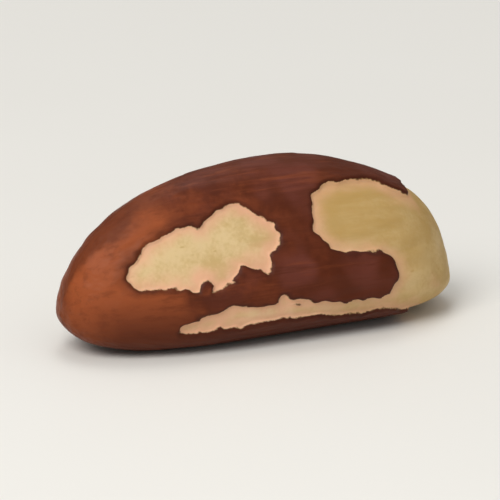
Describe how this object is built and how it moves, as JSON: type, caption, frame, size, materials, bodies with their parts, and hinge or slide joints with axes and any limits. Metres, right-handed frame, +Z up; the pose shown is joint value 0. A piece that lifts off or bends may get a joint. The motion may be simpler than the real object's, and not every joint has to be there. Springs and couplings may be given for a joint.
{
  "type": "brazil nut kernel",
  "caption": "Shelled brazil nut: a curved kernel of soft three-sided section, one tip narrow and one blunt, its brown skin scraped off in patches.",
  "frame": {"origin": "under the middle of the nut, on the plane that it lies on", "axes": "+X along the nut from its narrow tip to its blunt tip, +Y across it from the side with the long scraped window to the bulging side, +Z up from the face that it lies on to its top ridge"},
  "size_m": [0.0382, 0.017, 0.0152],
  "materials": {
    "nut_skin_and_kernel": null
  },
  "bodies": {
    "root": {"brazil_nut": "nut_skin_and_kernel"}
  },
  "joints": []
}
